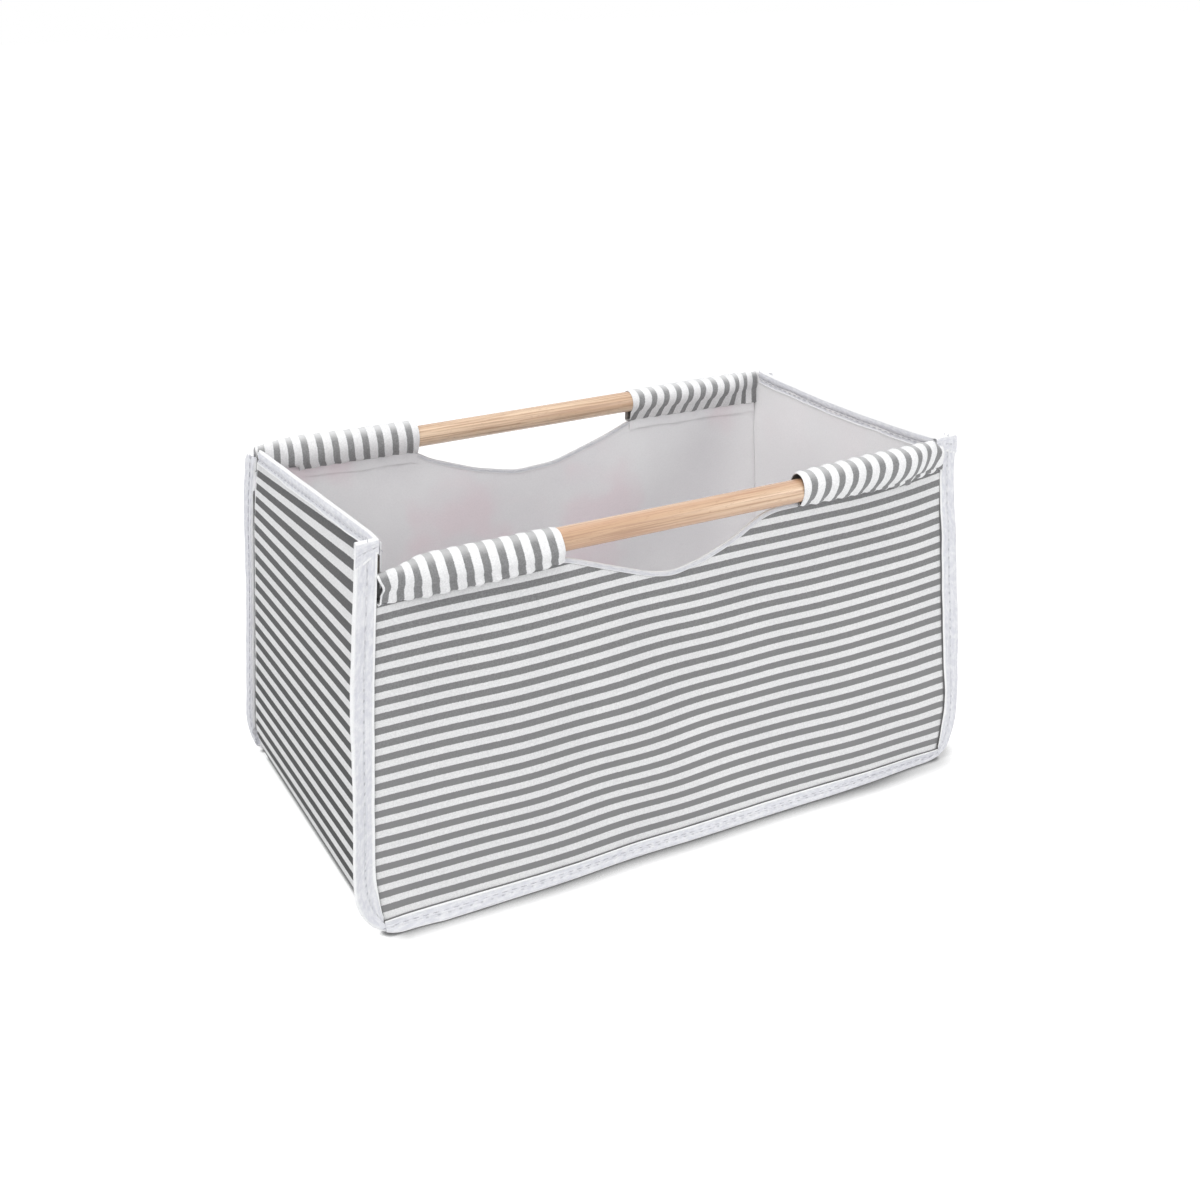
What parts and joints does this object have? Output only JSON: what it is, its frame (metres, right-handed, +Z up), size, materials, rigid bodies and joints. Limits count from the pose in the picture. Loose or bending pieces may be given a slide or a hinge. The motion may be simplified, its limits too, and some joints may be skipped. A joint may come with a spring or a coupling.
{
  "type": "fabric storage box",
  "caption": "Open-top striped fabric storage box with stiffened ends, a loose floor board, taped seams and a round wooden dowel handle along each long top edge.",
  "frame": {"origin": "on the surface that the box stands on, at the middle of its length and width", "axes": "+X along the box's length, -Y out of the front panel, +Z up"},
  "size_m": [0.408, 0.232, 0.215],
  "materials": {
    "striped_cloth": "matte non-woven cloth with grey and white stripes",
    "lining_cloth": "matte pale grey non-woven cloth",
    "seam_tape": "matte white binding tape",
    "board": "raw cardboard",
    "wood": "sanded pale beech"
  },
  "bodies": {
    "box": {"front_panel": "striped_cloth", "back_panel": "striped_cloth", "gusset_outer": "striped_cloth", "front_lining": "lining_cloth", "back_lining": "lining_cloth", "gusset_lining": "lining_cloth", "end_board_left": "board", "end_board_right": "board", "sleeve_front_left": "striped_cloth", "sleeve_front_right": "striped_cloth", "sleeve_back_left": "striped_cloth", "sleeve_back_right": "striped_cloth", "sleeve_band_front_left": "seam_tape", "sleeve_band_front_right": "seam_tape", "sleeve_band_back_left": "seam_tape", "sleeve_band_back_right": "seam_tape", "corner_tape_front_left": "seam_tape", "corner_tape_front_right": "seam_tape", "corner_tape_back_left": "seam_tape", "corner_tape_back_right": "seam_tape", "bottom_tape_front": "seam_tape", "bottom_tape_back": "seam_tape", "end_tape_left": "seam_tape", "end_tape_right": "seam_tape", "dip_binding_front": "seam_tape", "dip_binding_back": "seam_tape"},
    "front_dowel": {"front_dowel": "wood"},
    "back_dowel": {"back_dowel": "wood"},
    "base_board": {"base_board_cover": "lining_cloth", "base_board_core": "board"}
  },
  "joints": [
    {"name": "front_dowel_turn", "type": "hinge", "parent": "box", "child": "front_dowel", "pos_m": [0, -0.10215, 0.2069], "axis": [1, 0, 0], "continuous": true},
    {"name": "back_dowel_turn", "type": "hinge", "parent": "box", "child": "back_dowel", "pos_m": [0, 0.10215, 0.2069], "axis": [1, 0, 0], "continuous": true},
    {"name": "base_board_lift", "type": "slide", "parent": "box", "child": "base_board", "axis": [0, 0, 1], "range_m": [0, 0.23]}
  ]
}
